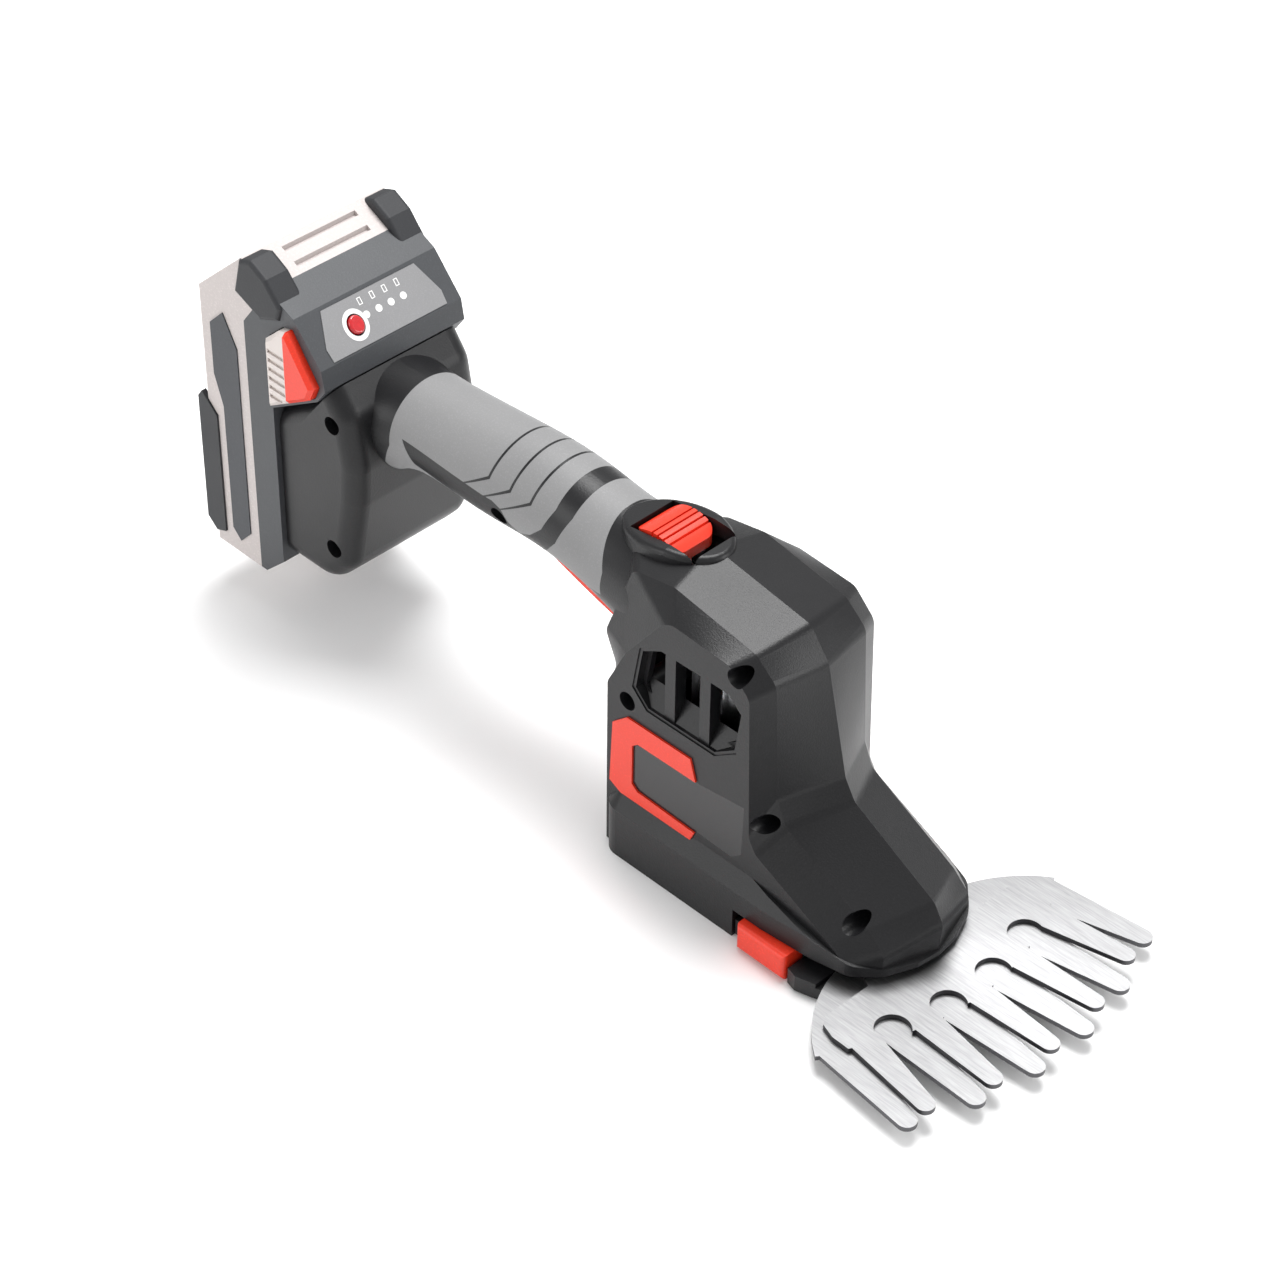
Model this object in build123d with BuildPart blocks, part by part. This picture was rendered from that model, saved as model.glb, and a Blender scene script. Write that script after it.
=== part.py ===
"""Cordless grass shears with a slide-on battery, as an assembly of separate pieces.

Millimetres. X points forward to the blade tips, Y to the user's left, Z up.
The origin is on the flat underside, on the axis that the moving blade swings about.
"""
from build123d import *
import os
from math import asin, atan2, cos, degrees, hypot, pi, radians, sin, tan

# ---- head: three side outlines (x, z), from the seam out to the flat side ----
head_half_width = 28.0
head_crease = 20.0
head_corner_radius = 5.0
housing_wall = 2.4
head_centre = [
    (-45, 0), (-45, 57), (-60, 72), (-60, 112), (-24.8, 115.7), (16.5, 109),
    (24.6, 98.4), (34.1, 57.9), (38.5, 50.5), (73.4, 31), (77.3, 24.2), (75, 0),
]
head_mid = [
    (-44, 0), (-44, 60), (-52, 78), (-40, 109), (-22, 112.3), (12.9, 106.4),
    (21.6, 98.9), (24.2, 54.7), (28, 46), (64, 26.5), (71, 20), (70, 0),
]
head_side = [
    (-43, 0), (-43, 67), (-35, 83), (-19, 104), (-15, 106), (9.3, 104.5),
    (18, 96), (20, 41), (23, 36), (56, 20), (62, 15), (64, 0),
]

# ---- base rim round the foot of the head ----
rim_stand_out = 4.0
rim_half_width = head_half_width + rim_stand_out
rim_height = 19.5
rim_slope_height = 6.0
rim_corner_radius = 7.0
rim_rear = -45.5
rim_front_top = [(-50, 0), (-50, 30), (20, 30), (20, 26), (77.5, 13), (77.5, 0)]

# ---- handle: station x, centre height, half height, share of the half width ----
handle_half_width = 17.2
handle_stations = [
    (-178, 87, 25, 1.5), (-168, 91, 21.3, 1.24), (-160, 94, 18.4, 1.08), (-150, 96.2, 16.6, 1.0),
    (-128, 97.2, 17.1, 1.0), (-104, 98.1, 18.1, 1.0), (-80, 97.3, 17.8, 1.0),
    (-57, 93.5, 18.8, 1.08), (-38, 90, 22.5, 1.35),
]
grip_thickness = 1.6
grip_outline = [
    (-156.5, 125), (-156.5, 94), (-161, 84), (-162, 60), (-91, 60), (-91, 78), (-84, 80.5),
    (-56.5, 88.5), (-55.5, 98), (-61, 112), (-61, 125),
]
grip_window = [
    (-151, 99), (-112, 97.3), (-107.5, 97.5), (-103.5, 96), (-101, 91), (-97.5, 88.5), (-91, 92), (-84.5, 98.5),
    (-80.5, 107), (-79, 125), (-71.5, 125), (-73.5, 107), (-78, 96.5), (-86, 87), (-96, 81),
    (-102, 80), (-146.5, 90.5),
]
groove_tops = (-106.5, -96.5, -87.0)
groove_width = 0.9
groove_run = 17.0

# ---- foot that carries the battery ----
foot_half_width = 29.0
foot_rear = -200.0
foot_bottom = 29.0
foot_shelf = [(-200, 92.5), (-176.6, 107.1), (-172, 113)]
foot_front = [(-165, 104), (-161.5, 84), (-162.6, 68.7), (-168.3, 39.6), (-178, 29)]
foot_corner_radius = 12.0
foot_edge_radius = 7.0
foot_back_depth = 12.0

# ---- lock boss on top of the head ----
boss_centre = -40.0
boss_half_length = 21.0
boss_half_width = 14.0
boss_edge_radius = 2.0
boss_top = [(-62, 90), (-62, 112.4), (-34, 116.4), (-18, 116.2), (-18, 90)]

# ---- trim let into the sides of the head: side outlines (x, z) ----
vent_outline = [
    (-28.9, 88.8), (-20.2, 93.8), (9.3, 94.2), (15.8, 88.3), (13.4, 71.7), (4.2, 65.1), (-25.5, 65), (-32, 71.3),
]
vent_depth = 6.0
vent_rib_places = (-16.5, -1.5)
vent_rib_width = 4.4
vent_frame_width = 2.6
vent_lip = 1.2
vent_sill_height = 8.5
accent_outline = [
    (-33.5, 57.9), (-39.9, 52.2), (-41.1, 27), (-36, 24.4), (-4.6, 24.4), (-2.9, 28.4), (-28.5, 29.4),
    (-31, 31.5), (-31, 47.5), (-28.5, 49.6), (-2.9, 49.9), (-5.4, 58.1),
]
accent_proud = 0.7
accent_depth = 1.2
label_outline = [
    (-30.6, 31.9), (-28.3, 29.9), (13, 28.4), (17, 32), (17.6, 52), (-2.6, 49.4), (-28.3, 49.1), (-30.6, 47.2),
]
label_depth = 0.5

# ---- screws that join the housing halves ----
screw_places = [(12, 101), (-34, 64), (23.3, 46.4), (59.5, 27), (-105.6, 91.5), (-172.5, 99), (-175, 46)]
screw_head_radius = 2.9
screw_head_height = 2.4
screw_shank_radius = 1.5
screw_well_radius = 3.4
screw_socket_radius = 1.3
screw_seat = 8.0
screw_reach = 12.0
post_wall = 1.6

# ---- blades ----
blade_plane = 7.0
blade_thickness = 1.8
blade_gap = 0.2
fixed_teeth = 6
fixed_tip_radius = 3.4
fixed_tip_reach = 126.4
fixed_pitch = 10.48
fixed_root_reach = 93.0
fixed_root_pitch = 12.8
fixed_root_half = 6.3
fixed_shoulder = (76.8, 56.6)
moving_teeth = 5
moving_tip_radius = 3.2
moving_tip_reach = 124.0
moving_pitch = 10.95
moving_root_reach = 97.0
moving_root_pitch = 12.9
moving_root_half = 5.2
moving_shoulder_x = 69.5
moving_half_width = 46.8
gullet_reach = 92.5
gullet_radius = 6.0
rest_swing = -1.1
pivot_radius = 3.0
pivot_head_rim = 3.0
blade_screw_places = [(44, -14), (44, 14)]
blade_screw_radius = 1.6
lower_blade_bottom = blade_plane - blade_thickness
upper_blade_bottom = blade_plane + blade_gap
upper_blade_top = upper_blade_bottom + blade_thickness

# ---- blade cassette and its latches ----
cassette_half_width = 25.6
cassette_rear = -15.0
cassette_front = 62.0
cassette_clearance = 0.4
cassette_top = 11.5
cassette_floor = 1.8
tray_edge = 0.8
latch_travel = 3.0
latch_start = 23.0
latch_length = 21.0
latch_outer = rim_half_width + 4.0
latch_inner = rim_half_width - 6.0
latch_clearance = 0.5
latch_tongue = (28.0, 38.0)
latch_tongue_top = 15.5
latch_cover = 1.6

# ---- motor ----
motor_x = -8.0
motor_radius = 18.0
motor_bottom = 41.5
motor_height = 50.0
motor_wall = 1.5
motor_end = 3.0
magnet_thickness = 2.4
armature_gap = 0.8
shaft_radius = 1.6
fan_radius = 14.5
fan_blades = 9
can_top = motor_bottom + motor_height

# ---- gears and their plates ----
pinion_teeth = 10
idler_teeth = 40
first_module = 0.8
small_teeth = 12
crank_teeth = 32
second_module = 1.0
idler_x = motor_x + first_module * (pinion_teeth + idler_teeth) / 2
crank_x = idler_x + second_module * (small_teeth + crank_teeth) / 2
tooth_backlash = 0.24
eccentric_throw = 2.7
eccentric_radius = 3.0
gear_shaft_radius = 2.5
running_fit = 0.05
bush_wall = 1.6
plate_thickness = 2.5
lower_plate_low = 12.7
middle_plate_low = 25.7
motor_plate_low = motor_bottom - plate_thickness - 0.5
plate_half_width = head_half_width - housing_wall
first_gears = (29.0, 37.0)
crank_wheel = (17.5, 25.0)
small_gear_low = 16.0
crank_hub_low = 15.6

# ---- trigger, switch and lock ----
trigger_half_width = 7.0
trigger_clearance = 0.5
trigger_pivot = (-93.0, 88.0)
trigger_pin_radius = 2.0
trigger_pin_reach = trigger_half_width + 3.8
trigger_slot_low = (-99, -trigger_half_width - trigger_clearance, 60)
trigger_slot_high = (-55.3, 1, 97)
switch_low = 96.6
lock_half_width = 9.0
lock_rear = -51.0
lock_length = 19.0
lock_travel = 6.0
lock_floor = 108.6
lock_edge = 4.0
lock_crown = 7.6
lock_clearance = 0.6
lock_stem = (-46.0, -38.0)
lock_stem_half_width = 4.0

# ---- battery shells ----
battery_half_width = 31.0
battery_wall = 2.2
battery_gap = 0.3
battery_part_line = -213.0
battery_profile = [
    (-236, 18), (-210, 18), (-200.3, 27), (-200.3, 93), (-176.6, 107.6), (-172.4, 113.4),
    (-173.8, 121), (-186.6, 135.3), (-199, 141), (-212, 147.5), (-240, 122), (-240, 24),
]
battery_corner = 4.0
rear_shell_region = [
    (-260, 0), (battery_part_line, 0), (battery_part_line, 122), (-204, 134), (-198.6, 141.2),
    (-198.6, 160), (-260, 160),
]
top_slot_places = ((-208.3, 145.5), (-202.3, 142.5))
top_slot_half_length = 16.0
rail_half_width = 18.0
rail_inner = 12.0
rail_neck = 2.0
rail_depth = 7.0
rail_lip = 3.4
rail_bottom = 36.0
rail_top = 92.0
rail_clearance = 0.4
terminal_half_width = 10.0
terminal_count = 4
terminal_pitch = 4.0

# ---- battery trim, controls and cells ----
ear_outline = [
    (-216, 133), (-212.5, 146.8), (-206.5, 149), (-199, 145), (-191.8, 136.8), (-193.5, 131.5), (-203, 127.5),
]
ear_width = 9.6
ear_proud = 1.2
ear_edge_radius = 1.6
bumper_outline = [(-240.6, 26), (-240.6, 78), (-238.5, 81), (-231, 74), (-231, 24), (-236, 22)]
bumper_proud = 0.8
bumper_depth = 1.2
side_panel_outline = [
    (-231, 113), (-224, 120), (-217.5, 108), (-217.5, 30), (-223, 24), (-227, 28), (-227, 80), (-231, 92),
]
side_panel_proud = 0.5
side_panel_depth = 1.0
release_outline = [(-199, 123), (-192, 129.4), (-187.4, 130.6), (-175.4, 114), (-177.8, 108.6), (-199, 95.6)]
release_travel = 2.5
release_proud = 3.5
release_edge = 1.4
release_rib_count = 6
gauge_plane = Plane(origin=(-180.2, 0, 128.15), x_dir=(0, 1, 0), z_dir=(14.3, 0, 12.8))
gauge_outline = [(-25, -9), (25, -9), (25.4, -4), (20.5, 8.2), (-20.5, 8.2), (-25.4, -4)]
gauge_depth = 1.0
gauge_button_place = (-10.8, -1.2)
gauge_button_size = (2.9, 3.3)
gauge_ring_size = (4.9, 5.6)
gauge_light_places = [(-5.3 + 5.4 * number, 0.2) for number in range(4)]
gauge_light_radius = 1.3
gauge_mark_rise = 5.0
gauge_mark_size = (1.6, 2.6)
cell_radius = 9.2
cell_length = 65.0
cell_bottom = 30.0
cell_spacing = 2 * cell_radius + 0.2


# ------------------------------------------------------------------ helpers
def inset_outline(points, distance):
    """Move every side of a closed outline inwards, keeping the order of its corners."""
    count = len(points)
    area = sum(
        points[i][0] * points[(i + 1) % count][1] - points[(i + 1) % count][0] * points[i][1]
        for i in range(count)
    )
    turn = 1 if area > 0 else -1
    moved = []
    for i in range(count):
        before, here, after = points[i - 1], points[i], points[(i + 1) % count]
        a = Vector(here[0] - before[0], here[1] - before[1]).normalized()
        b = Vector(after[0] - here[0], after[1] - here[1]).normalized()
        normal_a = Vector(-a.Y, a.X) * turn
        normal_b = Vector(-b.Y, b.X) * turn
        middle = (normal_a + normal_b) * (distance / (1 + normal_a.dot(normal_b)))
        moved.append((here[0] + middle.X, here[1] + middle.Y))
    return moved


def mirrored_outline(half):
    """Close a half plan outline about the X axis."""
    return half + [(x, -y) for x, y in reversed(half)]


def prism(points, near, far):
    """A side outline (x, z) stretched across Y from near to far."""
    with BuildPart() as block:
        with BuildSketch(Plane.XZ.offset(-far)):
            Polygon(*points, align=None)
        extrude(amount=far - near)
    return block.part


def plan_block(points, low, high):
    """A plan outline (x, y) stretched up Z from low to high."""
    with BuildPart() as block:
        with BuildSketch(Plane.XY.offset(low)):
            Polygon(*points, align=None)
        extrude(amount=high - low)
    return block.part


def box(low, high):
    """A block between two opposite corners."""
    corners = [(low[0], low[1]), (high[0], low[1]), (high[0], high[1]), (low[0], high[1])]
    return plan_block(corners, low[2], high[2])


def tube(x, y, bore, outside, low, high):
    """An upright bush, or a plain disc when the bore is 0."""
    with BuildPart() as bush:
        with BuildSketch(Plane.XY.offset(low)):
            with Locations((x, y)):
                Circle(outside)
                if bore > 0:
                    Circle(bore, mode=Mode.SUBTRACT)
        extrude(amount=high - low)
    return bush.part


def disc(x, y, radius, low, high):
    """An upright cylinder."""
    return tube(x, y, 0, radius, low, high)


def side_bar(x, z, radius, near, far):
    """A round bar that lies across the object, from y = near to y = far."""
    with BuildPart() as bar:
        with BuildSketch(Plane.XZ.offset(-far)):
            with Locations((x, z)):
                Circle(radius)
        extrude(amount=far - near)
    return bar.part


def mirrored(shape):
    """The left-hand twin of a right-hand piece."""
    with BuildPart() as twin:
        mirror(shape, about=Plane.XZ)
    return twin.part


def both_sides(shape):
    """A right-hand piece and its left-hand twin in one group."""
    with BuildPart() as pair:
        add(shape)
        mirror(shape, about=Plane.XZ)
    return pair.part


def coil(foot, direction, radius, wire, height, turns):
    """A compression spring of round wire that grows from foot along direction."""
    with BuildPart() as spring:
        with BuildLine() as line:
            Helix(pitch=height / turns, height=height, radius=radius, center=foot, direction=direction)
        start = line.edges()[0]
        with BuildSketch(Plane(origin=start @ 0, z_dir=start % 0)):
            Circle(wire)
        sweep(path=start)
    return spring.part


def save(piece, name):
    """Write one piece to its own file."""
    piece.label = name
    export_step(piece, f"parts/{name}.step")


os.makedirs("parts", exist_ok=True)


# ------------------------------------------------------------------ housing
def head_half(inset, corner_radius):
    """Right half of the head: flat side, soft crease, then the seam."""
    crease = head_crease - inset * tan(pi / 8)
    levels = [(head_centre, 0), (head_mid, crease), (head_side, head_half_width - inset)]
    with BuildPart() as head:
        for outline, reach in levels:
            with BuildSketch(Plane.XZ.offset(reach)) as section:
                Polygon(*inset_outline(outline, inset), align=None)
                if corner_radius > 0:
                    fillet(section.vertices().sort_by(Axis.Y)[2:], radius=corner_radius)
        loft(ruled=True)
    return head.part


def rim_half():
    """Right half of the base rim, with its sloped upper edge."""
    outline = [
        (rim_rear, 12), (rim_rear, -19), (rim_rear + 6, -rim_half_width), (30, -rim_half_width),
        (50, -rim_half_width + 1.6), (64, -rim_half_width + 4.4), (71.5, -20), (76, -9), (77, 0), (77, 12),
    ]
    slope = degrees(atan2(rim_stand_out, rim_slope_height))
    with BuildPart() as rim:
        with BuildSketch() as plan:
            Polygon(*outline, align=None)
            fillet(plan.vertices().sort_by(Axis.Y)[:6], radius=rim_corner_radius)
        extrude(amount=rim_height)
        extrude(rim.faces().sort_by(Axis.Z)[-1], amount=rim_slope_height, taper=slope)
        add(prism(rim_front_top, -rim_half_width - 8, 0), mode=Mode.INTERSECT)
    return rim.part


def handle_half(inset):
    """Right half of the round handle."""
    with BuildPart() as handle:
        for x, height, half_height, spread in handle_stations:
            with BuildSketch(Plane.YZ.offset(x)):
                with Locations((0, height)):
                    Ellipse(handle_half_width * spread - inset, half_height - inset)
        loft()
        split(bisect_by=Plane.XZ, keep=Keep.TOP)
    return handle.part


def foot_half(inset):
    """Right half of the foot that the battery slides onto."""
    profile = [(foot_rear, foot_bottom)] + foot_shelf + foot_front
    with BuildPart() as foot:
        with BuildSketch(Plane.XZ) as section:
            Polygon(*inset_outline(profile, inset), align=None)
            front = section.vertices().filter_by(
                lambda corner: corner.X > foot_front[-1][0] - 1 and corner.Y < foot_front[0][1] + 1
            )
            fillet(front, radius=foot_corner_radius - inset)
        extrude(amount=foot_half_width - inset)
        rim = foot.edges().group_by(Axis.Y)[0].filter_by(
            lambda edge: edge.center().X > foot_rear + inset + 1 and edge.center().Z < foot_shelf[1][1]
        )
        fillet(rim, radius=foot_edge_radius - inset)
    return foot.part


def lock_boss():
    """Raised oval round the lock button."""
    with BuildPart() as boss:
        with BuildSketch(Plane.XY.offset(98)):
            with Locations((boss_centre, 0)):
                Ellipse(boss_half_length, boss_half_width)
        extrude(amount=30)
        add(prism(boss_top, -40, 40), mode=Mode.INTERSECT)
        rim = boss.edges().filter_by(GeomType.LINE, reverse=True).filter_by(lambda edge: edge.center().Z > 108)
        fillet(rim, radius=boss_edge_radius)
        split(bisect_by=Plane.XZ, keep=Keep.TOP)
    return boss.part


handle_outer = handle_half(0)
handle_core = handle_half(grip_thickness)
groove_floor = handle_half(grip_thickness / 2)
head_outer = head_half(0, head_corner_radius)

battery_seat = foot_shelf + [(foot_shelf[-1][0], 160), (-230, 160), (-230, foot_shelf[0][1])]
cassette_room = [
    (cassette_rear - cassette_clearance, cassette_half_width + cassette_clearance),
    (18, cassette_half_width + cassette_clearance), (18, 45), (90, 45),
]


def grip_half():
    """Soft overmoulded grip on the right half of the handle, with its finger grooves."""
    with BuildPart() as grip:
        add(handle_outer)
        add(handle_core, mode=Mode.SUBTRACT)
        add(prism(grip_outline, -40, 0), mode=Mode.INTERSECT)
        add(prism(grip_window, -40, 0), mode=Mode.SUBTRACT)
        add(box(trigger_slot_low, trigger_slot_high), mode=Mode.SUBTRACT)
        for top in groove_tops:
            low = top - groove_run
            stripe = [(top, 125), (top - 4, 105), (low, 96), (low + groove_width, 96)]
            stripe += [(top - 4 + groove_width, 104.4), (top + groove_width, 125)]
            add(prism(stripe, -40, 0) - groove_floor, mode=Mode.SUBTRACT)
    return grip.part


right_grip = grip_half()
save(right_grip, "right_grip")
save(mirrored(right_grip), "left_grip")

with BuildPart() as skin:
    add(head_outer)
    add(rim_half())
    add(handle_outer)
    add(foot_half(0))
    add(lock_boss())
    add(prism(battery_seat, -50, 0), mode=Mode.SUBTRACT)
    split(bisect_by=Plane.XZ, keep=Keep.TOP)

with BuildPart() as posts:
    for x, z in screw_places:
        add(side_bar(x, z, screw_well_radius + post_wall, -40, 0))
    back_front = foot_rear + foot_back_depth
    add(prism([(foot_rear, 30), (foot_rear, 100), (back_front, 104), (back_front, 30)], -foot_half_width + 1, 0))
    add(side_bar(*trigger_pivot, trigger_pin_radius + 2, -30, -trigger_half_width - 1))
    add(skin.part, mode=Mode.INTERSECT)

latch_end = latch_start + latch_length
latch_room_low = (latch_start - latch_clearance, -latch_outer, 0)
latch_room_high = (latch_end + latch_clearance, -latch_inner + latch_travel + latch_clearance, cassette_top)
tongue_room_low = (latch_tongue[0] - 0.4, -rim_half_width + latch_cover, 0)
tongue_room_high = (latch_tongue[1] + 0.4, -latch_inner + latch_travel + 0.4, latch_tongue_top + 0.4)
lock_front = lock_rear + lock_length
lock_room_low = (lock_rear - 1, -lock_half_width - lock_clearance, lock_floor)
lock_room_high = (lock_front + lock_travel + 2, 1, 125)
stem_room_low = (lock_stem[0] - 0.5, -lock_stem_half_width - 0.5, 100)
stem_room_high = (lock_stem[1] + lock_travel + 0.5, 1, 120)
rail_slot_low = (foot_rear - 1, -rail_half_width - 0.5, rail_bottom - 1)
rail_slot_high = (foot_rear + rail_lip - 0.2, 1, 125)
rail_groove_low = (foot_rear + rail_lip - 0.2, -rail_half_width - rail_neck - 0.5, rail_bottom - 1)
rail_groove_high = (foot_rear + rail_depth + 0.2, 1, 125)
block_room_high = (foot_rear + foot_back_depth + 3, 1, 50)

with BuildPart() as half_shell:
    add(skin.part)
    add(head_half(housing_wall, 0), mode=Mode.SUBTRACT)
    add(handle_half(grip_thickness + housing_wall), mode=Mode.SUBTRACT)
    add(foot_half(housing_wall), mode=Mode.SUBTRACT)
    add(posts.part)
    add(right_grip, mode=Mode.SUBTRACT)
    add(plan_block(mirrored_outline(cassette_room), -1, cassette_top), mode=Mode.SUBTRACT)
    add(prism(vent_outline, -60, -head_half_width + vent_depth), mode=Mode.SUBTRACT)
    add(prism(accent_outline, -60, -head_half_width + accent_depth), mode=Mode.SUBTRACT)
    add(prism(label_outline, -60, -head_half_width + label_depth), mode=Mode.SUBTRACT)
    add(side_bar(*trigger_pivot, trigger_pin_radius, -trigger_pin_reach, 0), mode=Mode.SUBTRACT)
    add(box(trigger_slot_low, trigger_slot_high), mode=Mode.SUBTRACT)
    add(box(lock_room_low, lock_room_high), mode=Mode.SUBTRACT)
    add(box(stem_room_low, stem_room_high), mode=Mode.SUBTRACT)
    add(box(rail_slot_low, rail_slot_high), mode=Mode.SUBTRACT)
    add(box(rail_groove_low, rail_groove_high), mode=Mode.SUBTRACT)
    add(box((foot_rear, -terminal_half_width, 40), block_room_high), mode=Mode.SUBTRACT)
    add(box(latch_room_low, latch_room_high), mode=Mode.SUBTRACT)
    add(box(tongue_room_low, tongue_room_high), mode=Mode.SUBTRACT)

with BuildPart() as right_housing:
    add(half_shell.part)
    for x, z in screw_places:
        add(side_bar(x, z, screw_well_radius, -60, -screw_seat), mode=Mode.SUBTRACT)
        add(side_bar(x, z, screw_shank_radius + 0.2, -screw_seat, 0), mode=Mode.SUBTRACT)
save(right_housing.part, "right_housing")

with BuildPart() as left_housing:
    add(mirrored(half_shell.part))
    for x, z in screw_places:
        add(side_bar(x, z, screw_shank_radius, 0, screw_reach), mode=Mode.SUBTRACT)
save(left_housing.part, "left_housing")

with BuildPart() as housing_screws:
    for x, z in screw_places:
        add(side_bar(x, z, screw_head_radius, -screw_seat - screw_head_height, -screw_seat))
        add(side_bar(x, z, screw_shank_radius, -screw_seat, screw_reach))
        socket = side_bar(x, z, screw_socket_radius, -screw_seat - screw_head_height, -screw_seat - 1)
        add(socket, mode=Mode.SUBTRACT)
save(housing_screws.part, "housing_screws")


# ------------------------------------------------------------------ trim let into the sides
def vent_grille():
    """Recessed frame with upright ribs and a sloped sill, over the motor's cooling openings."""
    outer_face = -head_half_width
    low = min(z for x, z in vent_outline)
    high = max(z for x, z in vent_outline)
    left = min(x for x, z in vent_outline)
    right = max(x for x, z in vent_outline)
    with BuildPart() as grille:
        add(prism(vent_outline, outer_face + 3.6, outer_face + vent_depth))
        opening = inset_outline(vent_outline, vent_frame_width)
        add(prism(opening, outer_face + 3, outer_face + vent_depth + 1), mode=Mode.SUBTRACT)
        add(prism(vent_outline, outer_face + 0.4, outer_face + 3.6))
        lip_opening = inset_outline(vent_outline, vent_lip)
        add(prism(lip_opening, outer_face, outer_face + 3.6), mode=Mode.SUBTRACT)
        with BuildSketch(Plane.YZ.offset(left)):
            sill = [(outer_face + 0.8, low), (outer_face + vent_depth, low)]
            sill += [(outer_face + vent_depth, low + vent_sill_height)]
            Polygon(*sill, align=None)
        extrude(amount=right - left)
        for x in vent_rib_places:
            rib_low = (x - vent_rib_width / 2, outer_face + vent_lip, low)
            rib_high = (x + vent_rib_width / 2, outer_face + vent_depth, high)
            add(box(rib_low, rib_high))
        add(prism(vent_outline, -60, 0), mode=Mode.INTERSECT)
    return grille.part


right_vent_grille = vent_grille()
save(right_vent_grille, "right_vent_grille")
save(mirrored(right_vent_grille), "left_vent_grille")

right_accent_frame = prism(accent_outline, -head_half_width - accent_proud, -head_half_width + accent_depth)
save(right_accent_frame, "right_accent_frame")
save(mirrored(right_accent_frame), "left_accent_frame")
save(both_sides(prism(label_outline, -head_half_width, -head_half_width + label_depth)), "rating_plates")


# ------------------------------------------------------------------ gear case plates
def gear_plate(low, high, outline, holes, bosses):
    """A flat plate with round holes (x, radius) and raised bosses (x, radius, top)."""
    with BuildPart() as plate:
        add(plan_block(mirrored_outline(outline), low, high))
        for x, radius, top in bosses:
            add(disc(x, 0, radius, low, top))
        for x, radius in holes:
            add(disc(x, 0, radius, low - 1, high + 20), mode=Mode.SUBTRACT)
    return plate.part


crank_boss_top = middle_plate_low + 7
lower_plate = gear_plate(
    lower_plate_low, lower_plate_low + plate_thickness,
    [(-34, plate_half_width), (18, plate_half_width), (28, 18), (46, 16), (52, 8)],
    [(crank_x, eccentric_throw + eccentric_radius + 1), (idler_x, gear_shaft_radius)], [],
)
middle_plate = gear_plate(
    middle_plate_low, middle_plate_low + plate_thickness,
    [(-30, plate_half_width), (14, plate_half_width), (24, 18), (40, 14), (44, 7)],
    [(crank_x, gear_shaft_radius), (idler_x, second_module * small_teeth / 2 + 2)],
    [(crank_x, gear_shaft_radius + 1.9, crank_boss_top)],
)
motor_plate = gear_plate(
    motor_plate_low, motor_bottom,
    [(-30, plate_half_width), (14, plate_half_width), (18, 20)],
    [(motor_x, 4.5), (idler_x, gear_shaft_radius)], [],
)
save(lower_plate, "lower_gear_plate")
save(middle_plate, "middle_gear_plate")
save(motor_plate, "motor_plate")
save(disc(idler_x, 0, gear_shaft_radius, lower_plate_low, motor_bottom), "idler_shaft")
save(disc(crank_x, 0, gear_shaft_radius, crank_wheel[0], crank_boss_top), "crank_shaft")


# ------------------------------------------------------------------ gears
def gear_outline(teeth, module, phase):
    """Corner points of a spur gear with 20 degree flanks; phase turns the first tooth."""
    pitch_radius = teeth * module / 2
    base_radius = pitch_radius * cos(radians(20))
    tip_radius = pitch_radius + 0.92 * module
    root_radius = pitch_radius - 1.2 * module
    half_tooth = pi / (2 * teeth) - tooth_backlash / (4 * pitch_radius)
    pitch_involute = tan(radians(20)) - radians(20)
    flank = []
    for radius in (max(base_radius, root_radius), pitch_radius, tip_radius):
        pressure = (radius**2 / base_radius**2 - 1) ** 0.5
        involute = pressure - atan2(pressure, 1)
        flank.append((radius, half_tooth + pitch_involute - involute))
    flank.insert(0, (root_radius, flank[0][1] + 0.02))
    points = []
    for tooth_number in range(teeth):
        middle = radians(phase) + 2 * pi * tooth_number / teeth
        for radius, offset in flank:
            points.append((radius * cos(middle - offset), radius * sin(middle - offset)))
        for radius, offset in reversed(flank):
            points.append((radius * cos(middle + offset), radius * sin(middle + offset)))
    return points


def gear(x, teeth, module, phase, bore, low, high):
    """A spur gear about an upright axis at (x, 0)."""
    with BuildPart() as wheel:
        with BuildSketch(Plane.XY.offset(low)):
            with Locations((x, 0)):
                Polygon(*gear_outline(teeth, module, phase), align=None)
                Circle(bore, mode=Mode.SUBTRACT)
        extrude(amount=high - low)
    return wheel.part


pinion_low = first_gears[0] - 0.4
save(gear(motor_x, pinion_teeth, first_module, 0, shaft_radius, pinion_low, first_gears[1]), "motor_pinion")

gear_bore = gear_shaft_radius + running_fit
with BuildPart() as idler_gear:
    add(gear(idler_x, small_teeth, second_module, 0, gear_bore, small_gear_low, first_gears[0]))
    add(gear(idler_x, idler_teeth, first_module, 180 - 180 / idler_teeth, gear_bore, *first_gears))
save(idler_gear.part, "idler_gear")

eccentric_turn = asin(crank_x * sin(radians(rest_swing)) / eccentric_throw)
eccentric_place = (crank_x + eccentric_throw * cos(eccentric_turn), eccentric_throw * sin(eccentric_turn))
with BuildPart() as crank_gear:
    add(gear(crank_x, crank_teeth, second_module, 180 - 180 / crank_teeth, gear_bore, *crank_wheel))
    add(disc(crank_x, 0, crank_teeth * second_module / 2 - 3, crank_hub_low, crank_wheel[0]))
    add(disc(*eccentric_place, eccentric_radius, upper_blade_top + 0.8, crank_hub_low))
save(crank_gear.part, "crank_gear")


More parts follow.
